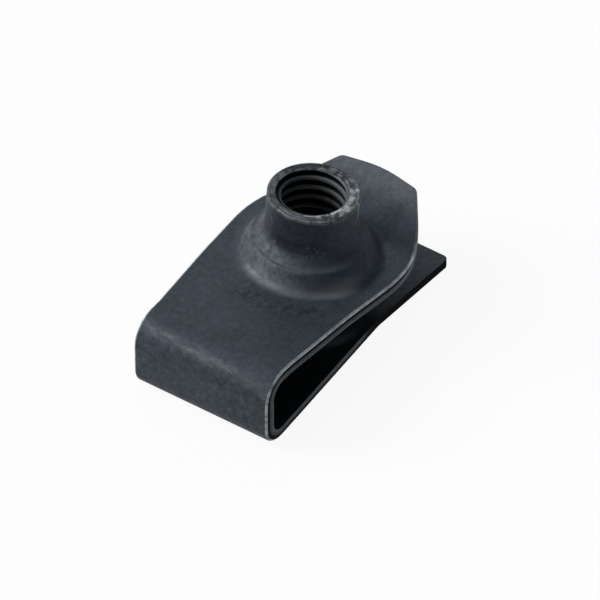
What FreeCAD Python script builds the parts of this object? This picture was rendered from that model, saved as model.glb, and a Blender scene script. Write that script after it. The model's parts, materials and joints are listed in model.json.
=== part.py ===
import FreeCAD, Part
import math
import os
import Sketcher

# Folded spring clip with an extruded, tapped barrel.
# Drawn with the lower leaf flat on z = 0, the back of the fold at x = 0 and the
# leaves running along +X, then set down on its bottom bend and its lead-in lip.

doc = FreeCAD.newDocument("clip_nut")
os.makedirs("parts", exist_ok=True)
V = FreeCAD.Vector

# Driving sizes, in millimetres and degrees
sizes = doc.addObject("Spreadsheet::Sheet", "Sizes")
driving = [
    # the strip and its fold
    ("sheet_gauge", 0.8),
    ("clip_width", 9.5),
    ("clip_length", 20.0),
    ("fold_height", 5.73),
    ("bend_inside_radius", 0.95),
    ("edge_roll_radius", 0.2),
    # the lower leaf and its lead-in lip
    ("lip_length", 7.7),
    ("lip_slope", 10.0),
    ("lip_bend_radius", 3.0),
    ("leaf_corner_radius", 0.35),
    ("lip_flare", 0.12),
    ("screw_hole_radius", 3.0),
    # the upper leaf, seen from the side
    ("leaf_slope", 6.7),
    ("crease_lead", 3.59),
    ("leaf_crease_radius", 8.0),
    ("sprung_slope", 10.0),
    ("tip_length", 4.4),
    ("tip_bend_radius", 2.0),
    ("tip_slope", 15.0),
    # the upper leaf, seen from above
    ("flank_start_x", 2.6),
    ("flank_round_radius", 12.0),
    ("bulge_corner_setback", 4.68),
    ("bulge_corner_y", 5.77),
    ("bulge_radius", 9.0),
    ("tip_corner_setback", 0.26),
    ("tip_corner_y", 2.7),
    ("tip_corner_radius", 0.6),
    ("crown_reach", 0.15),
    ("crown_radius", 8.0),
    # the barrel, along its own axis
    ("barrel_setback", 8.11),
    ("barrel_tilt", 7.0),
    ("barrel_height", 4.8),
    ("barrel_radius", 2.84),
    ("rim_round_radius", 0.15),
    ("skirt_drop", 2.6),
    ("skirt_round_radius", 1.1),
    ("ledge_drop", 3.34),
    ("ledge_radius", 3.4),
    ("ledge_step", 0.22),
    ("ledge_round_radius", 0.16),
    ("boss_radius", 4.35),
    ("boss_blend_radius", 0.7),
    # the tapped hole
    ("thread_minor_radius", 1.98),
    ("mouth_radius", 2.1),
    ("mouth_depth", 0.12),
    ("entry_height", 1.0),
    ("entry_radius", 3.2),
    ("entry_round_radius", 1.5),
]

# Sizes that follow from the driving ones
following = [
    ("bend_outside_radius", "=bend_inside_radius + sheet_gauge"),
    ("half_width", "=clip_width / 2"),
    ("lip_half_width", "=half_width + lip_flare"),
    ("past_end_x", "=clip_length + 2 * sheet_gauge"),
    ("before_back_x", "=-2 * sheet_gauge"),
    ("lip_start_x", "=clip_length - lip_length"),
    ("barrel_x", "=clip_length - barrel_setback"),
    ("leaf_crease_x", "=barrel_x - crease_lead"),
    ("tip_bend_x", "=clip_length - tip_length"),
    ("bulge_corner_x", "=clip_length - bulge_corner_setback"),
    ("lip_end_z", "=-lip_length * tan(lip_slope * 1deg)"),
    ("lip_past_z", "=-(past_end_x - lip_start_x) * tan(lip_slope * 1deg)"),
    ("crease_z", "=fold_height - leaf_crease_x * tan(leaf_slope * 1deg)"),
    ("tip_bend_z", "=crease_z - (tip_bend_x - leaf_crease_x) * tan(sprung_slope * 1deg)"),
    ("tip_past_z", "=tip_bend_z + (past_end_x - tip_bend_x) * tan(tip_slope * 1deg)"),
    ("gap_middle_z", "=tip_bend_z / 2"),
    ("above_all", "=fold_height + barrel_height"),
    ("below_all", "=gap_middle_z - lip_past_z + sheet_gauge"),
    ("tip_corner_x", "=clip_length - tip_corner_setback"),
    ("crown_x", "=clip_length + crown_reach"),
    ("blank_width", "=2 * (bulge_corner_y + clip_width)"),
    ("barrel_z", "=crease_z - crease_lead * tan(sprung_slope * 1deg)"),
    ("skirt_z", "=barrel_height - skirt_drop"),
    ("ledge_z", "=barrel_height - ledge_drop"),
    ("ledge_edge_radius", "=ledge_radius + ledge_step"),
    ("boss_foot_z", "=-sheet_gauge / 2"),
    ("boss_foot_radius", "=boss_radius + (boss_radius - ledge_edge_radius)"
     " * sheet_gauge / 2 / ledge_z"),
    ("mouth_z", "=barrel_height - mouth_depth"),
    ("bore_top_z", "=2 * barrel_height"),
    ("bore_low_z", "=-barrel_z / 2"),
    ("bore_low_radius", "=entry_radius + (entry_radius - thread_minor_radius)"
     " * (-bore_low_z - sheet_gauge) / (entry_height + sheet_gauge)"),
    ("screw_hole_x", "=barrel_x - barrel_z * tan(barrel_tilt * 1deg)"),
    ("rest_reach", "=sqrt((clip_length - bend_outside_radius) ^ 2"
     " + (bend_outside_radius - lip_end_z) ^ 2)"),
    ("rest_tilt", "=(atan((bend_outside_radius - lip_end_z) / (clip_length"
     " - bend_outside_radius)) - asin(bend_outside_radius / rest_reach)) / 1deg"),
]
for row, (name, content) in enumerate(driving + following, 1):
    sizes.set("A%d" % row, name)
    sizes.set("B%d" % row, str(content))
    sizes.setAlias("B%d" % row, name)
doc.recompute()


def size(name):
    """The value of a named cell: nothing is zero, and a leading minus sign turns it round."""
    if not name:
        return 0.0
    return -size(name[1:]) if name[0] == "-" else float(getattr(sizes, name))


def formula(name):
    """The same named cell as a formula."""
    if not name:
        return "0"
    return "-Sizes." + name[1:] if name[0] == "-" else "Sizes." + name


def new_sketch(name, upright):
    """A sketch on the XZ plane when upright, otherwise on the XY plane."""
    sketch = doc.addObject("Sketcher::SketchObject", name)
    if upright:
        sketch.Placement.Rotation = FreeCAD.Rotation(V(1, 0, 0), 90)
    return sketch


def pin(sketch, geometry, point, x, y):
    """Hold a point at two named sizes from the sketch's origin."""
    for kind, name in (("DistanceX", x), ("DistanceY", y)):
        place = Sketcher.Constraint(kind, -1, 1, geometry, point, size(name))
        sketch.setExpression("Constraints[%d]" % sketch.addConstraint(place), formula(name))


def add_line(sketch, start, end):
    return sketch.addGeometry(Part.LineSegment(start, end), False)


def add_arc(sketch, centre, start, end, radius):
    """An arc that turns left about its centre, with its radius held at a named size."""
    circle = Part.Circle(centre, V(0, 0, 1), size(radius))
    first = math.atan2(start.y - centre.y, start.x - centre.x)
    last = math.atan2(end.y - centre.y, end.x - centre.x)
    arc = sketch.addGeometry(Part.ArcOfCircle(circle, first, last), False)
    held = sketch.addConstraint(Sketcher.Constraint("Radius", arc, size(radius)))
    sketch.setExpression("Constraints[%d]" % held, formula(radius))
    return arc


def join(sketch, kind, first, first_end, second, second_end):
    sketch.addConstraint(Sketcher.Constraint(kind, first, first_end, second, second_end))


def bent_path(sketch, corners, closed):
    """Straight runs between corners, each rounded by a tangent arc where it has a radius.

    Each corner is the names of its x, its y and its radius.
    """
    count = len(corners)
    points = [V(size(x), size(y), 0) for x, y, radius in corners]
    ends = []
    for i, (x, y, radius) in enumerate(corners):
        if not radius:
            ends.append((points[i], points[i], None))
            continue
        before = (points[i - 1] - points[i]).normalize()
        after = (points[(i + 1) % count] - points[i]).normalize()
        half = before.getAngle(after) / 2
        reach = size(radius) / math.tan(half)
        centre = points[i] + (before + after).normalize() * (size(radius) / math.sin(half))
        ends.append((points[i] + before * reach, points[i] + after * reach, centre))
    runs = []
    for i in range(count if closed else count - 1):
        runs.append(add_line(sketch, ends[i][1], ends[(i + 1) % count][0]))
    for i, (x, y, radius) in enumerate(corners):
        start, end, centre = ends[i]
        last_run = runs[i - 1] if closed or i > 0 else None
        next_run = runs[i] if i < len(runs) else None
        if not radius:
            if last_run is not None and next_run is not None:
                join(sketch, "Coincident", last_run, 2, next_run, 1)
            if next_run is None:
                pin(sketch, last_run, 2, x, y)
            else:
                pin(sketch, next_run, 1, x, y)
            continue
        if (start - centre).cross(end - centre).z > 0:
            arc = add_arc(sketch, centre, start, end, radius)
            first, second = 1, 2
        else:
            arc = add_arc(sketch, centre, end, start, radius)
            first, second = 2, 1
        join(sketch, "Tangent", last_run, 2, arc, first)
        join(sketch, "Tangent", next_run, 1, arc, second)
        corner = sketch.addGeometry(Part.Point(points[i]), True)
        sketch.addConstraint(Sketcher.Constraint("PointOnObject", corner, 1, last_run))
        sketch.addConstraint(Sketcher.Constraint("PointOnObject", corner, 1, next_run))
        pin(sketch, corner, 1, x, y)


def extrude(name, source, direction, length, symmetric=False):
    """A solid drawn out from a closed profile by a named length."""
    solid = doc.addObject("Part::Extrusion", name)
    solid.Base = source
    solid.DirMode = "Custom"
    solid.Dir = direction
    solid.Solid = True
    solid.Symmetric = symmetric
    solid.setExpression("LengthFwd", formula(length))
    return solid


def combine(kind, name, shapes):
    """Shapes fused or kept where they overlap."""
    result = doc.addObject(kind, name)
    result.Shapes = shapes
    return result


# Side view: the outer face of the folded strip, from past the lip round to past the tip
side_path = new_sketch("side_path", upright=True)
bent_path(side_path, [
    ("past_end_x", "lip_past_z", ""),
    ("lip_start_x", "", "lip_bend_radius"),
    ("", "", "bend_outside_radius"),
    ("", "fold_height", "bend_outside_radius"),
    ("leaf_crease_x", "crease_z", "leaf_crease_radius"),
    ("tip_bend_x", "tip_bend_z", "tip_bend_radius"),
    ("past_end_x", "tip_past_z", ""),
], closed=False)
side_profile = doc.addObject("Part::Offset2D", "side_profile")
side_profile.Source = side_path
side_profile.setExpression("Value", "-Sizes.sheet_gauge")
side_profile.Fill = True
side_profile.Mode = "Skin"
side_profile.Join = "Arc"
strip = extrude("strip", side_profile, V(0, 1, 0), "blank_width", symmetric=True)

# Outline of the lower leaf from above: parallel as far as the lip, which widens a little
# and has rounded corners
lower_outline = new_sketch("lower_outline", upright=False)
bent_path(lower_outline, [
    ("before_back_x", "-half_width", ""),
    ("lip_start_x", "-half_width", "flank_round_radius"),
    ("clip_length", "-lip_half_width", "leaf_corner_radius"),
    ("clip_length", "lip_half_width", "leaf_corner_radius"),
    ("lip_start_x", "half_width", "flank_round_radius"),
    ("before_back_x", "half_width", ""),
], closed=True)

# Outline of the upper leaf from above: wider towards a bulge round the barrel, then drawn
# in to a narrow, slightly crowned tip
upper_outline = new_sketch("upper_outline", upright=False)
bent_path(upper_outline, [
    ("before_back_x", "-half_width", ""),
    ("flank_start_x", "-half_width", "flank_round_radius"),
    ("bulge_corner_x", "-bulge_corner_y", "bulge_radius"),
    ("tip_corner_x", "-tip_corner_y", "tip_corner_radius"),
    ("crown_x", "", "crown_radius"),
    ("tip_corner_x", "tip_corner_y", "tip_corner_radius"),
    ("bulge_corner_x", "bulge_corner_y", "bulge_radius"),
    ("flank_start_x", "half_width", "flank_round_radius"),
    ("before_back_x", "half_width", ""),
], closed=True)

# The strip keeps what lies inside the upper outline above the gap and inside the lower
# outline below it
for outline in (upper_outline, lower_outline):
    outline.setExpression(".Placement.Base.z", "Sizes.gap_middle_z")
upper_blank = extrude("upper_blank", upper_outline, V(0, 0, 1), "above_all")
lower_blank = extrude("lower_blank", lower_outline, V(0, 0, -1), "below_all")
blank = combine("Part::MultiFuse", "blank", [upper_blank, lower_blank])
leaves = combine("Part::MultiCommon", "leaves", [strip, blank])


def turned(name, corners):
    """A solid turned about the barrel's axis from a half section of radii and heights."""
    section = new_sketch(name + "_section", upright=True)
    bent_path(section, corners, closed=True)
    solid = doc.addObject("Part::Revolution", name)
    solid.Source = section
    solid.Axis = V(0, 0, 1)
    solid.Angle = 360
    solid.Solid = True
    solid.setExpression(".Placement.Base.x", "Sizes.barrel_x")
    solid.setExpression(".Placement.Base.z", "Sizes.barrel_z")
    solid.Placement.Rotation = FreeCAD.Rotation(V(0, 1, 0), 0)
    solid.setExpression(".Placement.Rotation.Angle", "Sizes.barrel_tilt * 1deg")
    return solid


# The barrel drawn up out of the leaf: a conical boss, a ledge, a flared skirt and a
# straight neck that ends in a rounded rim
barrel = turned("barrel", [
    ("", "boss_foot_z", ""),
    ("boss_foot_radius", "boss_foot_z", ""),
    ("ledge_edge_radius", "ledge_z", "ledge_round_radius"),
    ("ledge_radius", "ledge_z", ""),
    ("barrel_radius", "skirt_z", "skirt_round_radius"),
    ("barrel_radius", "barrel_height", "rim_round_radius"),
    ("", "barrel_height", ""),
])
bore = turned("bore", [
    ("", "bore_low_z", ""),
    ("bore_low_radius", "bore_low_z", ""),
    ("thread_minor_radius", "entry_height", "entry_round_radius"),
    ("thread_minor_radius", "mouth_z", ""),
    ("mouth_radius", "barrel_height", ""),
    ("mouth_radius", "bore_top_z", ""),
    ("", "bore_top_z", ""),
])

# Soft edges: the boss blends into the leaf, and the sheared edges roll over on the side
# that is outside once the strip is folded
def on_skin(point):
    """Whether a point is on the outer face of the strip, wherever it is across the width."""
    in_plane = Part.Vertex(V(point.x, 0, point.z))
    return side_path.Shape.distToShape(in_plane)[0] < 1e-4


def middle(face):
    u_low, u_high, v_low, v_high = face.ParameterRange
    return face.valueAt((u_low + u_high) / 2, (v_low + v_high) / 2)


raised = combine("Part::MultiFuse", "raised", [leaves, barrel])
doc.recompute()
soft_edges = []
for number, edge in enumerate(raised.Shape.Edges, 1):
    faces = raised.Shape.ancestorsOfType(edge, Part.Face)
    off_skin = [face for face in faces if not on_skin(middle(face))]
    if len(faces) == 2 and len(off_skin) == 1:
        meets_boss = off_skin[0].Surface.TypeId == "Part::GeomCone"
        radius = size("boss_blend_radius" if meets_boss else "edge_roll_radius")
        soft_edges.append((number, radius, radius))
softened = doc.addObject("Part::Fillet", "softened")
softened.Base = raised
softened.Edges = soft_edges

# The tapped bore through the barrel, and the clearance hole that lets the screw through
screw_hole = doc.addObject("Part::Cylinder", "screw_hole")
screw_hole.setExpression("Radius", "Sizes.screw_hole_radius")
screw_hole.setExpression("Height", "Sizes.gap_middle_z - Sizes.lip_past_z")
screw_hole.setExpression(".Placement.Base.x", "Sizes.screw_hole_x")
screw_hole.setExpression(".Placement.Base.z", "Sizes.lip_past_z")
openings = combine("Part::MultiFuse", "openings", [bore, screw_hole])
clip_nut = doc.addObject("Part::Cut", "clip_nut")
clip_nut.Base = softened
clip_nut.Tool = openings
clip_nut.Label = "clip_nut"
doc.recompute()

# Set the clip down on its bottom bend and its lip, with its middle over the origin
clip_nut.Placement.Rotation = FreeCAD.Rotation(V(0, 1, 0), -size("rest_tilt"))
box = clip_nut.Shape.optimalBoundingBox(False)
clip_nut.Placement.Base = V(-box.Center.x, -box.Center.y, -box.ZMin)
doc.recompute()

for item in doc.Objects:
    assert "Invalid" not in item.State and "Error" not in item.State, item.Name
    if hasattr(item, "Shape"):
        assert not item.Shape.isNull() and item.Shape.isValid(), item.Name
assert len(clip_nut.Shape.Solids) == 1
clip_nut.Shape.exportStep("parts/clip_nut.step")
print("clip_nut", clip_nut.Shape.optimalBoundingBox(False))
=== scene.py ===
# %% [markdown]
# This script dresses a folded spring-steel clip nut for a photograph. The solid model is
# loaded first as a fixed frame, in metres, with the clip resting on the floor at z = 0.
# Everything that follows is placed from the sizes of that solid.

# %% Load the solid model
import json
import math

import bpy
from mathutils import Matrix, Vector


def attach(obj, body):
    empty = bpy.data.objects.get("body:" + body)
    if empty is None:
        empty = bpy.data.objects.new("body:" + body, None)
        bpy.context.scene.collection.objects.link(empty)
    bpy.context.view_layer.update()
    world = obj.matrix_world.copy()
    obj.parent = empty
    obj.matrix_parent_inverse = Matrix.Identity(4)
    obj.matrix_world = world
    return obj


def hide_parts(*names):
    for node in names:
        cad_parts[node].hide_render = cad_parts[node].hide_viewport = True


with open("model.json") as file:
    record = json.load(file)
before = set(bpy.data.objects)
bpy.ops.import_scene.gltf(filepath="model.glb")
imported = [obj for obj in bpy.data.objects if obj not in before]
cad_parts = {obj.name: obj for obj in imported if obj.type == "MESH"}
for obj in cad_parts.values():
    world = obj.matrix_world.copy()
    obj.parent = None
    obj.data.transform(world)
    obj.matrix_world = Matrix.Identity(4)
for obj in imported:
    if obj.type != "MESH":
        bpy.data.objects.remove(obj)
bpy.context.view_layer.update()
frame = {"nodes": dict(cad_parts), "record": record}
mm = 0.001
mounts = {mount["name"]: mount for mount in frame["record"]["mounts"]}

# %% [markdown]
# The camera looks down on the clip from beyond its fold, as a catalogue picture does. Its
# direction could be typed in as a rotation, but three plain angles are easier to correct:
# the way round, the height above the floor and a small roll.

# %% Turn the camera
camera_turn = math.radians(-59.12)
camera_height = math.radians(42.755)
camera_roll = math.radians(3.15)
level_back = Vector((math.sin(camera_turn), -math.cos(camera_turn), 0))
back = level_back * math.cos(camera_height) + Vector((0, 0, math.sin(camera_height)))
level_right = Vector((0, 0, 1)).cross(level_back)
level_up = back.cross(level_right)
right = level_right * math.cos(camera_roll) + level_up * math.sin(camera_roll)
up = back.cross(right)
print("camera direction", [round(share, 4) for share in back])

# %% [markdown]
# A long lens from far away keeps the strip's parallel edges nearly parallel, and a short one
# would swell the fold. The picture's scale at the clip is known in pixels per millimetre, so
# the lens follows from the distance instead of being guessed.

# %% Place the camera
picture_side = 600
pixels_per_mm = 16.65
picture_width = picture_side / pixels_per_mm * mm
picture_centre = Vector((-0.561, -0.912, 3.225)) * mm
camera_distance = 700 * mm
nearest = 10 * mm
farthest = 10
camera_data = bpy.data.cameras.new("camera")
camera_data.lens = camera_data.sensor_width * camera_distance / picture_width
camera_data.clip_start = nearest
camera_data.clip_end = farthest
camera = bpy.data.objects.new("camera", camera_data)
bpy.context.collection.objects.link(camera)
camera_turned = Matrix((right, up, back)).transposed().to_4x4()
camera.matrix_world = Matrix.Translation(picture_centre + back * camera_distance) @ camera_turned
bpy.context.scene.camera = camera
print("lens", round(camera_data.lens, 1), "mm")

# %% [markdown]
# Most of Blender's operators act on whatever is selected, so each step starts by selecting
# one piece and nothing else. Two helpers say that once.

# %% Helpers for selecting and editing
def select_only(piece):
    """Make one object the only selected one and the active one."""
    bpy.ops.object.select_all(action="DESELECT")
    piece.hide_set(False)
    piece.select_set(True)
    bpy.context.view_layer.objects.active = piece


def edit(piece, *steps):
    """Run edit-mode steps on all of a piece."""
    select_only(piece)
    bpy.ops.object.mode_set(mode="EDIT")
    bpy.ops.mesh.select_all(action="SELECT")
    for step in steps:
        step()
    bpy.ops.object.mode_set(mode="OBJECT")


print("helpers ready")

# %% [markdown]
# The real clip is one strip of steel, blanked, drawn and folded, and the solid already has
# that form. It could be modelled again by extruding and bending, but a copy of the solid
# keeps every size. The solid's mesh is loose triangles, so the copy's corners are merged,
# and the solid itself stays as it is.

# %% Copy the solid
merge_distance = 0.0005 * mm
select_only(frame["nodes"]["clip_nut"])
bpy.ops.object.duplicate()
clip = bpy.context.object
clip.name = "clip"
bpy.ops.mesh.customdata_custom_splitnormals_clear()
edit(clip, lambda: bpy.ops.mesh.remove_doubles(threshold=merge_distance),
     lambda: bpy.ops.mesh.normals_make_consistent(inside=False))
print("clip", len(clip.data.vertices), "vertices")

# %% [markdown]
# The barrel is drawn up out of the leaf and then tapped. The frame's record says where its
# bore is, how wide and how long, so the thread is placed from that. A shallow mouth leads
# from the thread's top to the rim.

# %% Measure the bore
thread = mounts["thread"]
thread_axis = -Vector(thread["axis"])
thread_middle = Vector(thread["pos_m"])
bore_radius = thread["dims"]["r_mm"] * mm
bore_length = thread["dims"]["length_mm"] * mm
mouth_depth = 0.12 * mm
thread_top = thread_middle + thread_axis * bore_length / 2
rim_place = thread_top + thread_axis * mouth_depth
print("bore", round(2 * bore_radius / mm, 2), "mm wide,", round(bore_length / mm, 2), "mm long")

# %% [markdown]
# A tap leaves one helical groove, and between its turns the bore's wall stays as flat
# crests. Rings stacked up the bore would look much the same from far off, but a real thread
# climbs. So the groove's section is drawn once, a narrow trapezoid standing in the bore's
# wall, and it will be carried round and up.

# %% Draw the groove's section
groove_depth = 0.38 * mm
root_width = 0.1 * mm
cutter_inset = 0.25 * mm
flank_slope = math.tan(math.radians(30))
root_radius = bore_radius + groove_depth
inner_radius = bore_radius - cutter_inset
upright = (math.radians(90), 0, 0)

bpy.ops.object.select_all(action="DESELECT")
bpy.ops.mesh.primitive_plane_add(size=1, rotation=upright)
cutter = bpy.context.object
cutter.name = "thread_cutter"
bpy.ops.object.transform_apply(location=False, rotation=True, scale=False)
for corner in cutter.data.vertices:
    radius = root_radius if corner.co.x > 0 else inner_radius
    half_width = root_width / 2 + (root_radius - radius) * flank_slope
    corner.co = Vector((radius, 0, math.copysign(half_width, corner.co.z)))
print("groove", round(groove_depth / mm, 2), "mm deep")

# %% [markdown]
# A Screw modifier carries the section round the axis while it climbs by one pitch a turn.
# The helix starts in the wide entry under the barrel and runs out into the air above the
# rim, as a tap does, so the first and the last turn thin out by themselves.

# %% Wind the section into a helix
thread_pitch = 0.72 * mm
cutter_turns = 7
steps_per_turn = 64
helix = cutter.modifiers.new("helix", "SCREW")
helix.axis = "Z"
helix.screw_offset = thread_pitch
helix.iterations = cutter_turns
helix.steps = steps_per_turn
helix.render_steps = steps_per_turn
helix.use_merge_vertices = False
select_only(cutter)
bpy.ops.object.modifier_apply(modifier="helix")
print("helix", len(cutter.data.polygons), "faces")

# %% [markdown]
# A Boolean needs a closed cutter, and the helix is open at its two ends. Each end is a ring
# of four edges, so filling holes of four sides closes them. Then the cutter is leant along
# the barrel's axis, with its first turn starting on the far side of the bore.

# %% Close the helix and set it in the bore
groove_below_top = 0.12 * mm
turns_below_top = 5
corners_of_section = 4
far_side = math.atan2(-back.y, -back.x)


def close_ends():
    """Fill the ring of edges at each end of the helix."""
    bpy.ops.mesh.select_all(action="DESELECT")
    bpy.ops.mesh.select_non_manifold()
    bpy.ops.mesh.fill_holes(sides=corners_of_section)
    bpy.ops.mesh.select_all(action="SELECT")
    bpy.ops.mesh.normals_make_consistent(inside=False)


edit(cutter, close_ends)
drop = Matrix.Translation((0, 0, -groove_below_top - turns_below_top * thread_pitch))
tilt = Vector((0, 0, 1)).rotation_difference(thread_axis).to_matrix().to_4x4()
cutter.data.transform(
    Matrix.Translation(thread_top) @ tilt @ Matrix.Rotation(far_side, 4, "Z") @ drop)
print("cutter", len(cutter.data.polygons), "faces")

# %% [markdown]
# The cutter is taken away from the clip, which leaves the groove. The exact solver is used
# because the crests are thin, and the fast one can lose such faces.

# %% Cut the thread
select_only(clip)
cut = clip.modifiers.new("thread", "BOOLEAN")
cut.operation = "DIFFERENCE"
cut.solver = "EXACT"
cut.object = cutter
bpy.ops.object.modifier_apply(modifier="thread")
bpy.data.objects.remove(cutter)
print("clip with thread", len(clip.data.polygons), "faces")

# %% [markdown]
# Drawing the barrel leaves a small ledge round the boss, and on the real part it is soft.
# A wider fillet could be cut, but relaxing the few rows of corners round the ledge gives the
# flowing shape of pressed metal. A vertex group keeps the Smooth modifier to those rows.

# %% Soften the ledge round the boss
ledge_drop = 3.34 * mm
ledge_reach = 0.35 * mm
ledge_inside = 2.9 * mm
ledge_outside = 3.7 * mm
ledge_place = rim_place - thread_axis * ledge_drop
ledge_corners = clip.vertex_groups.new(name="ledge")
softened = 0
for corner in clip.data.vertices:
    offset = corner.co - ledge_place
    along = offset.dot(thread_axis)
    across = (offset - thread_axis * along).length
    if abs(along) < ledge_reach and ledge_inside < across < ledge_outside:
        ledge_corners.add([corner.index], 1.0, "REPLACE")
        softened += 1
select_only(clip)
relax = clip.modifiers.new("relax", "SMOOTH")
relax.vertex_group = ledge_corners.name
relax.factor = 0.5
relax.iterations = 3
bpy.ops.object.modifier_apply(modifier="relax")
print("ledge", softened, "corners softened")

# %% [markdown]
# The strip's bends and the barrel are smooth, while its sheared edges and the thread's
# crests are sharp. Shading by angle splits the two. Weighted normals then let the large flat
# faces keep their direction, so the light doesn't ripple where they meet small ones. The
# finished piece rides on the part's only body and stands in for the solid.

# %% Shade it smooth
sharp_angle = math.radians(35)
flat_weight = 80
bpy.ops.object.shade_smooth_by_angle(angle=sharp_angle)
flats = clip.modifiers.new("flats", "WEIGHTED_NORMAL")
flats.keep_sharp = True
flats.weight = flat_weight
bpy.ops.object.modifier_apply(modifier="flats")
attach(clip, "root")
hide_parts("clip_nut")
print("clip shaded,", len(clip.data.polygons), "faces")

# %% [markdown]
# Every finish is worked out from numbers, with no picture. It could be wired by hand in the
# shader editor, but dozens of Math nodes are hard to read. This small class wraps a socket,
# so that arithmetic on patterns reads as plain expressions and adds the nodes by itself.

# %% A class for shader arithmetic
class Signal:
    """A socket of a material's nodes. Arithmetic on it adds the nodes that work it out."""

    def __init__(self, material, socket=None):
        self.material = material
        self.socket = socket

    def node(self, kind, settings, inputs, output=0):
        """Add a node: its settings first, then the numbers or signals on its sockets."""
        node = self.material.node_tree.nodes.new(kind)
        for name, value in settings.items():
            setattr(node, name, value)
        for name, value in inputs.items():
            if isinstance(value, Signal):
                self.material.node_tree.links.new(value.socket, node.inputs[name])
            else:
                node.inputs[name].default_value = value
        return Signal(self.material, node.outputs[output])

    def math(self, operation, *values):
        return self.node("ShaderNodeMath", {"operation": operation}, dict(enumerate(values)))

    def __add__(self, other):
        return self.math("ADD", self, other)

    __radd__ = __add__

    def __sub__(self, other):
        return self.math("SUBTRACT", self, other)

    def __rsub__(self, other):
        return self.math("SUBTRACT", other, self)

    def __mul__(self, other):
        return self.math("MULTIPLY", self, other)

    __rmul__ = __mul__

    def __neg__(self):
        return self.math("MULTIPLY", self, -1)

    def __abs__(self):
        return self.math("ABSOLUTE", self)

    def at_most(self, other):
        return self.math("MINIMUM", self, other)

    def at_least(self, other):
        return self.math("MAXIMUM", self, other)

    def between(self, low, high):
        """Rise smoothly from 0 at the low value to 1 at the high one."""
        settings = {"interpolation_type": "SMOOTHSTEP"}
        inputs = {"Value": self, "From Min": low, "From Max": high}
        return self.node("ShaderNodeMapRange", settings, inputs)

    def below(self, low, high):
        """Fall smoothly from 1 at the low value to 0 at the high one."""
        return 1 - self.between(low, high)

    def around(self, middle, spread):
        """1 at the middle value, falling smoothly to 0 at the spread on either side."""
        return abs(self - middle).below(0, spread)

    def vector(self, operation, *values, output=0):
        settings = {"operation": operation}
        return self.node("ShaderNodeVectorMath", settings, dict(enumerate(values)), output)

    def plus(self, other):
        return self.vector("ADD", self, other)

    def minus(self, other):
        return self.vector("SUBTRACT", self, other)

    def dot(self, other):
        return self.vector("DOT_PRODUCT", self, other, output="Value")

    def length(self):
        return self.vector("LENGTH", self, output="Value")

    def distance(self, other):
        return self.vector("DISTANCE", self, other, output="Value")

    def scaled(self, factor):
        """This vector made longer or shorter by a number or a signal."""
        return self.node("ShaderNodeVectorMath", {"operation": "SCALE"}, {0: self, "Scale": factor})

    def stretched(self, along_x, along_y, along_z):
        """The same place with its three directions scaled apart, for streaks."""
        return self.vector("MULTIPLY", self, (along_x, along_y, along_z))

    def times(self, fixed):
        """A fixed direction or colour, scaled by this signal."""
        return self.node("ShaderNodeVectorMath", {"operation": "SCALE"}, {0: fixed, "Scale": self})

    def mix(self, first, second):
        """One colour into another, by this signal as the factor."""
        settings = {"data_type": "RGBA"}
        return self.node("ShaderNodeMix", settings, {0: self, 6: first, 7: second}, 2)

    def split(self):
        """The three numbers of a vector."""
        node = self.node("ShaderNodeSeparateXYZ", {}, {"Vector": self}).socket.node
        return [Signal(self.material, socket) for socket in node.outputs]

    def noise(self, scale, detail=3.0, roughness=0.55):
        """A soft random pattern, 0 to 1, that reads this signal as its place."""
        inputs = {"Vector": self, "Scale": scale, "Detail": detail, "Roughness": roughness}
        return self.node("ShaderNodeTexNoise", {}, inputs)


print("signals ready")

# %% [markdown]
# A material starts with its surface shader and a signal to build on. A finished signal is
# fed to a socket of that shader by the socket's name.

# %% Helpers for materials
def new_material(name):
    """A material, its surface shader and a first signal."""
    material = bpy.data.materials.new(name)
    material.use_nodes = True
    return material, material.node_tree.nodes["Principled BSDF"], Signal(material)


def feed(shader, name, signal):
    """Link a signal to one of the surface shader's sockets."""
    signal.material.node_tree.links.new(signal.socket, shader.inputs[name])


steel, steel_shader, start = new_material("oxide_steel")


def count_nodes(what):
    """Print how large the steel's material has grown."""
    print(what, len(steel.node_tree.nodes), "nodes so far")


count_nodes("new steel")

# %% [markdown]
# The clip is spring steel with a dark oxide finish: matte, blue-grey and never quite even.
# Its wear follows its shape, so the first values are places to measure from. They could be
# painted by hand on an unwrapped surface, but measures in millimetres stay sharp at any
# size. Here are the place on the strip, and which way the surface faces.

# %% Measure the place and the facing
place = start.node("ShaderNodeTexCoord", {}, {}, "Object").scaled(1 / mm)
facing = start.node("ShaderNodeTexCoord", {}, {}, "Normal")
x, y, z = place.split()
facing_x, facing_y, facing_z = facing.split()
side_facing = abs(facing_y)
on_wall = (-facing_x).between(0.5, 1.0)
count_nodes("place and facing")

# %% [markdown]
# The barrel and its boss are round, so wear there is told by the height along the barrel's
# axis and the distance away from it. Two more measures say how far a point lies towards the
# front and the right of the barrel, as it is seen from the fold's side. Lengths on the
# material are plain millimetres.

# %% Measure from the barrel's axis
barrel_height = 4.8
rim_height = (rim_place - thread_middle).length / mm
leaf_height = rim_height - barrel_height
from_middle = place.minus(thread_middle / mm)
height = from_middle.dot(thread_axis)
along_axis = height.times(thread_axis)
off_axis = from_middle.minus(along_axis)
from_axis = off_axis.length()
below_rim = rim_height - height
above_leaf = height - leaf_height
facing_up = facing.dot(thread_axis)
to_right = off_axis.dot(level_right)
to_front = off_axis.dot(level_back)
count_nodes("round the barrel")
print("rim", round(rim_height, 2), "mm above the thread's middle, leaf", round(leaf_height, 2))

# %% [markdown]
# The strip's edges show how a blank is cut: the punch rolls the outer corner over and shears
# the rest, and the oxide takes differently on each band. To tell the bands apart, the script
# needs the depth in the sheet, from 0 at the inner skin to 0.8 mm at the outer one. Seen from
# the side, the slot inside the fold is bounded by straight lines, each given by its place at
# zero and its slope, and its two corners are round. The distance past it is the depth.

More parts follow.
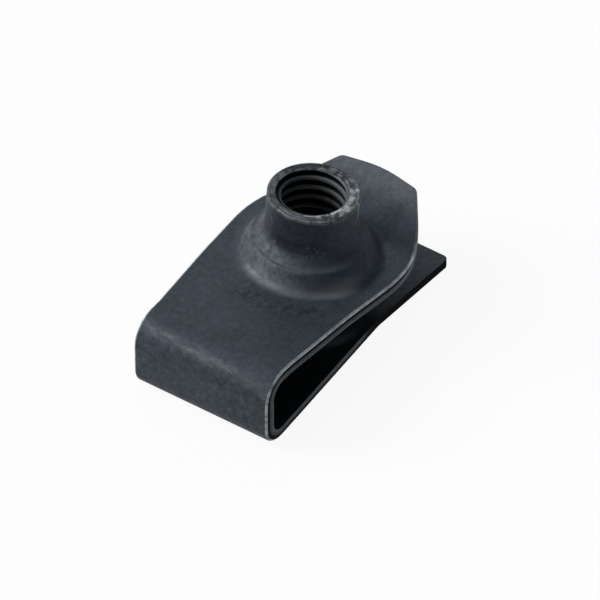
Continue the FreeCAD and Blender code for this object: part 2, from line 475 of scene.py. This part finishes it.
# %% Measure the depth in the sheet
slot_corner = 1.0
leaf_skin = 4.346 - 0.043 * x
sprung_skin = 4.231 - 0.1009 * x
tip_skin = 1.744 + 0.349 * x
upper_skin = leaf_skin.at_most(sprung_skin).at_least(tip_skin)
base_skin = 1.41 + 0.0741 * x
lip_skin = 1.831 - 0.101 * x
lower_skin = base_skin.at_most(lip_skin)
wall_skin = -9.08 - 0.0744 * z
past_wall = (slot_corner + wall_skin - x).at_least(0.0)
past_leaves = (slot_corner - upper_skin + z).at_least(slot_corner + lower_skin - z).at_least(0.0)
past_slot = start.node("ShaderNodeCombineXYZ", {}, {"X": past_wall, "Z": past_leaves})
depth = past_slot.length() - slot_corner
count_nodes("depth in the sheet")

# %% [markdown]
# Oxide takes unevenly. Soft noise at three sizes gives the patches of about a millimetre, the
# mottle inside them and the fine grain. A fourth pattern, stretched along the strip, gives
# the faint lines that rolling leaves.

# %% Patterns of the oxide
blotches = place.noise(0.55, detail=2.0)
mottle = place.noise(2.6, detail=4.0, roughness=0.65)
grain = place.noise(9.0, detail=3.0, roughness=0.7)
rolling_lines = place.stretched(0.5, 5.0, 1.0).noise(1.6, detail=2.0)
broken = 0.35 + 0.65 * mottle.between(0.35, 0.6)
count_nodes("oxide patterns")

# %% [markdown]
# Forming leaves marks of its own, and each runs with the work: across the sheared edge, in
# rings round the neck where it was drawn, in streaks over the bend, and round the rim. Noise
# makes them all once its place is squeezed in one direction. Read at the height or at the
# distance from the axis, the same noise turns into rings.

# %% Patterns of the forming
shear_lines = place.stretched(5.0, 1.0, 0.8).noise(2.0, detail=2.0)
bend_streaks = place.stretched(3.0, 0.9, 3.0).noise(1.1).between(0.42, 0.62)
neck_ring_place = off_axis.scaled(0.12).plus((height * 4.0).times(thread_axis))
draw_rings = neck_ring_place.noise(1.0, detail=2.0)
rim_ring_place = off_axis.scaled(0.5).plus((from_axis * 5.0).times(thread_axis))
rim_rings = rim_ring_place.noise(1.0).between(0.38, 0.6)
lumps = place.noise(2.2, detail=2.0).between(0.35, 0.6)
specks = place.noise(2.6, detail=0.5).between(0.72, 0.82)
fine_specks = place.noise(4.2, detail=1.0).between(0.55, 0.68)
count_nodes("forming patterns")

# %% [markdown]
# A mask is 1 where a finish belongs and 0 elsewhere, made by multiplying ranges of the
# measures. The two numbers of a range are where its border starts and ends, in millimetres
# for a place and from 0 to 1 for a facing. These masks find the strip's edges: the rolled
# corner, the painted shadow line under it, the sheared band, its inner corner and the lower
# leaf's edge, darkened as painted shade. They keep clear of the boss, whose flanks face the
# same ways as the edges do.

# %% Find the sheared edges
sheared = (0.985, 0.998)
past_boss = from_axis.between(5.0, 5.3)
at_flank = abs(y).between(4.4, 4.5) * depth.below(0.79, 0.803)
off_boss = past_boss.at_least(at_flank)
on_lip_half = x.between(0.0, 2.0) * z.below(1.6, 2.2)
roll_faces = side_facing.between(0.25, 0.45) * side_facing.below(0.94, 0.99)
on_roll = roll_faces * off_boss * depth.between(0.55, 0.62) * (1 - 0.6 * x.between(5.0, 7.0))
# Painted shadow: a dark line under the rolled corner.
painted_shadow_under_roll = side_facing.between(0.96, 0.99) * depth.between(0.36, 0.44) * off_boss
on_shear = side_facing.between(*sheared) * off_boss
inner_line = on_shear * depth.below(0.1, 0.3) * (1 - on_lip_half)
# Painted shade: the lower leaf's edge, which faces down, is darkened.
shaded_low_edge = abs(facing_z).below(0.3, 0.6) * on_lip_half * off_boss
count_nodes("edges")

# %% [markdown]
# The bend over the fold is the clip's most rubbed place. It is found by its facing, half up
# and half outwards, and not by its place, so the mask follows the bend's own curve. The lip
# and the upturned tip get a little painted light, and the faces inside the fold are darkened
# as painted shade.

# %% Find the bend, the ends and the inside
bend_facing = facing_z + facing_x - 0.06 * y
on_bend = (bend_facing.around(-0.05, 0.5) * (facing_x * facing_z * -2).between(0.1, 0.6)
           * x.below(-8.3, -7.3))
# Painted light on the lip and the upturned tip.
painted_light_on_lip = x.between(7.5, 9.0) * z.below(2.0, 2.6) * facing_z.between(0.3, 0.8)
painted_light_on_tip = x.between(7.2, 9.3) * z.between(3.0, 3.6)
# Painted shade: the faces inside the fold are darkened.
inside_base = facing_z.between(0.3, 0.8) * z.below(2.2, 2.5) * x.below(0.0, 5.5)
inside_fold = facing_x.between(0.2, 0.7) * x.below(-7.5, -7.0)
under_leaf = (-facing_z).between(0.2, 0.7) * z.between(1.2, 1.8)
inside = (inside_base + inside_fold + under_leaf).between(0, 1)
count_nodes("bend, ends and inside")

# %% [markdown]
# Handling and the first screw rub the rim and the thread's crests, and the grooves and the
# mouth's wall are darkened as painted shade. The ranges are heights below the rim and
# distances from the axis, so they hold for any turn of the thread.

# %% Find the bore and the rim
border = 0.1
crest_reach = 2.05
groove_reach = 2.5
neck_reach = 2.66
# Painted shade: the bore's grooves and the mouth's wall are darkened.
in_bore = from_axis.below(groove_reach, groove_reach + border) * below_rim.between(0.02, 0.06)
crest_height = height.between(-2.0, 1.4)
on_crest = from_axis.below(crest_reach, crest_reach + border) * in_bore * crest_height
on_rim = below_rim.below(0.03, 0.12) * facing_up.between(0.6, 0.9) * (1 - in_bore)
rim_inner_edge = on_rim * from_axis.below(2.2, 2.42)
rim_outer_edge = from_axis.between(neck_reach, neck_reach + border) * below_rim.below(0.1, 0.3)
count_nodes("bore and rim")

# %% [markdown]
# Below the rim come the straight neck, the skirt with its ledge, and the foot where the boss
# runs out into the leaf. Painted light lifts the flank towards the picture's left and the front
# of the foot, a painted highlight runs along the ledge, and painted shade darkens the neck's
# left front.

# %% Find the neck, the boss and its foot
on_neck = above_leaf.between(1.9, 2.4) * from_axis.between(2.6, 2.75)
# Painted shade on the neck's left front.
shaded_neck = on_neck * (-to_right).between(0.0, 1.5) * to_front.between(0.0, 1.5)
on_boss = above_leaf.between(0.1, 0.6) * from_axis.below(4.6, 5.2)
left_flank = (to_front * 0.35 - to_right * 0.8).between(0.2, 3.2)
# Painted light on the boss's flank that faces the key lamp.
painted_light_on_flank = on_boss * (1 - on_neck) * left_flank
# Painted highlight along the ledge, mostly on its right.
painted_highlight_on_ledge = (from_axis.around(3.3, 0.4) * above_leaf.around(1.45, 0.45)
            * to_front.between(-2.5, 0.5) * to_right.between(-2.0, 1.5))
# Painted light on the front of the foot.
painted_light_on_foot = (from_axis.around(4.25, 0.5) * to_front.between(1.2, 2.8)
           * above_leaf.below(1.2, 1.6) * to_right.below(2.0, 3.8))
count_nodes("neck, boss and foot")

# %% [markdown]
# A few marks are single: a painted glint on the rim, a painted highlight down the neck, pale
# specks on its front, dark scuffs on the leaf before the boss, and painted light on the leaf
# in the boss's shadow, on its right. Painting them would need a picture, so each is placed by
# its distance from a point or by ranges of the measures.

# %% Place the small marks
axis_place = thread_middle / mm
# Painted glint: a small bright spot on the rim's right side.
rim_glint_place = axis_place + thread_axis * rim_height + level_right * 2.6 - level_back * 0.5
painted_rim_glint = place.distance(rim_glint_place).below(0.05, 0.22)
# Painted highlight down the neck's right side.
painted_neck_highlight = (to_front.around(0.75, 0.3) * to_right.between(2.4, 2.6)
             * height.between(0.2, 1.0) * on_neck)
speck_place = axis_place - thread_axis * 0.75 + level_back * 2.9 + level_right * 0.1
neck_specks = on_neck * place.distance(speck_place).below(0.5, 1.1) * fine_specks
scuff_noise = place.stretched(0.8, 1.6, 1.0).noise(2.6).between(0.5, 0.6)
scuffs = (scuff_noise * from_axis.around(5.6, 1.3) * to_front.between(2.5, 4.5)
          * to_right.below(0.5, 2.0))
# Painted light: lifts the leaf in the boss's shadow.
painted_light_by_boss = ((-y).between(2.4, 3.8) * x.between(1.0, 3.0) * from_axis.between(4.2, 4.8)
             * z.between(3.2, 3.6))
count_nodes("small marks")

# %% [markdown]
# The oxide's colour is one blue-grey, made lighter and darker by the patterns, and darkened
# towards the picture's right as painted shade. The fold's wall, which was stretched most, is
# the most mottled part.

# %% Vary the oxide
evenness = 0.84
blotch_share = 0.4
mottle_share = 0.9 + 0.7 * on_wall
grain_share = 0.7 + 0.5 * on_wall
rolling_share = 0.2
# Painted shade: darker towards the picture's right.
painted_shade_across = 0.012
patches = (evenness + blotch_share * blotches + mottle_share * (mottle - 0.5)
           + grain_share * (grain - 0.5) + rolling_share * (rolling_lines - 0.5)
           + painted_shade_across * y)
count_nodes("oxide")

# %% [markdown]
# Each place that holds more oxide, and each place painted in shade, takes a share of the
# colour away, from 0 for none to 1 for all, and a share below 0 gives some back as painted
# light. Written as a list, each stands on its own line and is easy to change without the
# others.

# %% Darken the thick oxide and paint the shade
oxide_and_painted_light_shares = [
    on_rim * (0.5 - 0.35 * lumps),
    on_rim * 0.35 * (-to_front).between(0.3, 2.3),
    on_neck * (0.51 * draw_rings - 0.03),
    on_shear * (0.45 - 0.5 * shear_lines),
    on_wall * 0.1,
    in_bore * 0.88,
    shaded_neck * 0.28,
    inside * 0.75,
    painted_shadow_under_roll * 0.8,
    shaded_low_edge * 0.93,
    scuffs * 0.4,
    painted_light_by_boss * -0.55,
]
oxide_with_painted_light = patches
for share in oxide_and_painted_light_shares:
    oxide_with_painted_light = oxide_with_painted_light * (1 - share)
count_nodes("darker oxide")

# %% [markdown]
# Where the finish is rubbed thin, the steel shows through, and each share says how far. The
# rolled edge is made pale along its whole length, less down the fold's wall, and the bend is
# worn only in streaks. The rim is worn, and painted highlights make it paler towards the
# front and the right and along its front inner edge.

# %% Wear the edges and the bend, and paint the rim's highlights
wall_edge = x.below(-9.7, -9.0)
roll_brightness = 0.3 + 0.45 * lumps + 0.5 * grain - (0.32 + 0.1 * lumps) * wall_edge
bend_wear = 0.05 + bend_streaks * (0.03 + 0.16 * grain.between(0.35, 0.65))
# Painted highlight: the rim is made paler towards the front and the right.
rim_highlight_side = 1 + 0.24 * to_right + 0.14 * to_front
rim_wear_and_highlight = (0.01 + 0.48 * rim_rings * lumps) * rim_highlight_side + 0.11 * to_right.between(1.2, 2.6)
edge_wear_and_highlight_shares = [
    on_roll * roll_brightness,
    inner_line * 0.1,
    on_bend * bend_wear,
    on_rim * rim_wear_and_highlight,
    # Painted highlight along the rim's front inner edge.
    rim_inner_edge * 0.9 * lumps * to_front.between(-0.5, 1.5),
    rim_outer_edge * 0.22 * broken,
]
count_nodes("worn edges")

# %% [markdown]
# The rest is light: wear on the thread's crests and the specks, and painted light on the
# neck's left side, the boss's flank, ledge and foot, the ends of the leaves, the painted
# highlight down the neck and the painted glint on the rim. All shares are added, and the sum
# is held at 1, where the steel is bare.

# %% Wear the crests and specks, and paint light on the barrel and the ends
light_wear_and_painted_light_shares = [
    on_crest * 0.32,
    # Painted light on the neck's left side, which faces the key lamp.
    on_neck * 0.035 * (-to_right).between(1.8, 2.6),
    painted_highlight_on_ledge * 0.12,
    painted_light_on_foot * (0.17 + 0.3 * to_right.between(0.0, 2.2)),
    painted_light_on_flank * 0.13 * broken,
    painted_light_on_tip * 0.22 * (0.6 + 0.4 * broken),
    painted_light_on_lip * 0.05,
    specks * (0.03 + 0.08 * on_wall),
    neck_specks * 0.16,
    painted_neck_highlight * 0.45,
    painted_rim_glint * 1.6,
]
wear_and_painted_light = sum(edge_wear_and_highlight_shares + light_wear_and_painted_light_shares).at_most(1.0)
count_nodes("worn finish")

# %% [markdown]
# One colour turns into the other by the wear and the painted light. Along the rolled edge
# the bare colour is made brighter still.

# %% Colour the steel
oxide = (0.0462, 0.0562, 0.0684)
bare_steel = (0.33, 0.345, 0.355)
roll_brightening = 0.7
brightened_steel = (1 + roll_brightening * on_roll).times(bare_steel)
feed(steel_shader, "Base Color", wear_and_painted_light.mix(oxide_with_painted_light.times(oxide), brightened_steel))
count_nodes("colour")

# %% [markdown]
# Oxide is matte and worn steel a little smoother. The finish is half metal, half coating, so
# Metallic sits at a half. The bore's grooves and the dark lines of the edge are painted shade,
# and full Metallic on their dark colour keeps a pale sheen off them.

# %% Set the gloss
matte = 0.66
smoother_if_worn = 0.2
mottled_gloss = 0.16
coated = 0.5
weak_sheen = 0.2
roughness = matte - smoother_if_worn * wear_and_painted_light - mottled_gloss * (mottle - 0.5)
feed(steel_shader, "Roughness", roughness + 0.26 * painted_shadow_under_roll + 0.34 * shaded_low_edge)
dark_metal = in_bore * (1 - on_crest) + shaded_low_edge + painted_shadow_under_roll * (1 - shaded_low_edge)
feed(steel_shader, "Metallic", coated + (1 - coated) * dark_metal)
steel_shader.inputs["Specular IOR Level"].default_value = weak_sheen
count_nodes("gloss")

# %% [markdown]
# Last comes the relief, two hundredths of a millimetre deep: the grain of the oxide, the
# lines of the sheared edge and the rings of the neck. It is too fine to model, so a Bump node
# bends the light there instead. The finished steel then goes on the clip.

# %% Add fine relief and put the steel on
relief_strength = 0.4
relief_depth = 0.02 * mm
relief = grain * 0.5 + mottle * 0.5 + on_shear * shear_lines * 0.8 + on_neck * draw_rings * 0.6
relief_inputs = {"Strength": relief_strength, "Distance": relief_depth, "Height": relief}
feed(steel_shader, "Normal", start.node("ShaderNodeBump", {}, relief_inputs, "Normal"))
clip.data.materials.clear()
clip.data.materials.append(steel)
count_nodes("steel")

# %% [markdown]
# The clip lies on white studio paper. The paper could be lit until it is white, but then the
# clip would be too bright. Instead, what the camera and the reflections see of it is mostly a
# plain white glow, and the rest is the lit paper itself, which keeps a trace of the shadow.

# %% Lay the floor
floor_side = 3
bpy.ops.object.select_all(action="DESELECT")
bpy.ops.mesh.primitive_plane_add(size=floor_side)
floor = bpy.context.object
floor.name = "floor"
print("floor", floor_side, "m across")

# %% [markdown]
# A Mix Shader chooses between the lit paper and the glow. Its factor is the Light Path node's
# answer to whether the camera or a reflection is looking, so the paper still lights the clip
# from below as plain paper would.

# %% Make the white paper
glow_share = 0.92
paper, paper_shader, paper_start = new_material("white_paper")
paper_shader.inputs["Base Color"].default_value = (0.88, 0.88, 0.88, 1)
paper_shader.inputs["Roughness"].default_value = 0.9
seen_straight = paper_start.node("ShaderNodeLightPath", {}, {}, "Is Camera Ray")
seen_reflected = paper_start.node("ShaderNodeLightPath", {}, {}, "Is Glossy Ray")
seen = seen_straight.at_least(seen_reflected)
glow = paper_start.node("ShaderNodeEmission", {}, {"Color": (1, 1, 1, 1), "Strength": 1.0})
lit_paper = Signal(paper, paper_shader.outputs[0])
surface = paper_start.node("ShaderNodeMixShader", {}, {0: seen * glow_share, 1: lit_paper, 2: glow})
paper_end = paper.node_tree.nodes["Material Output"]
paper.node_tree.links.new(surface.socket, paper_end.inputs["Surface"])
floor.data.materials.append(paper)
print("paper", len(paper.node_tree.nodes), "nodes")

# %% [markdown]
# The room gives a faint, cool fill from all sides. It keeps the dark right flank of the boss
# from going black.

# %% Fill the room with light
room_colour = (0.78, 0.98, 1.08, 1)
room_strength = 0.125
world = bpy.data.worlds.new("studio")
world.use_nodes = True
world.node_tree.nodes["Background"].inputs["Color"].default_value = room_colour
world.node_tree.nodes["Background"].inputs["Strength"].default_value = room_strength
bpy.context.scene.world = world
print("room light", room_strength)

# %% [markdown]
# Three soft lamps shape the clip. The strongest, the key lamp, stands on the picture's left,
# so the boss and the barrel have a bright left flank and a dark right one. A weak lamp
# overhead evens the flat leaf, and one behind the clip draws the rim and the tip out of the
# shadow. Square lamps of this size give soft shadows, which a point lamp wouldn't.

# %% Place the lamps
lamp_distance = 0.5


def soft_lamp(name, direction, side, power):
    """A square lamp that faces the clip from a direction."""
    lamp_data = bpy.data.lights.new(name, "AREA")
    lamp_data.energy = power
    lamp_data.size = side
    lamp = bpy.data.objects.new(name, lamp_data)
    bpy.context.collection.objects.link(lamp)
    lamp.location = direction.normalized() * lamp_distance
    lamp.rotation_mode = "QUATERNION"
    lamp.rotation_quaternion = direction.to_track_quat("Z", "Y")
    print(name, "lamp", power, "W")


soft_lamp("key", Vector((-0.5, 0.72, 0.6)), side=0.25, power=2.55)
soft_lamp("overhead", Vector((0.1, 0.1, 1)), side=0.3, power=0.4)
soft_lamp("back", Vector((0.75, 0.5, 0.5)), side=0.3, power=0.55)

# %% [markdown]
# The standard view shows each colour about as it is written. The dressed clip has to stay
# inside the solid's box.

# %% Show the colours as written
bpy.context.scene.view_settings.view_transform = "Standard"
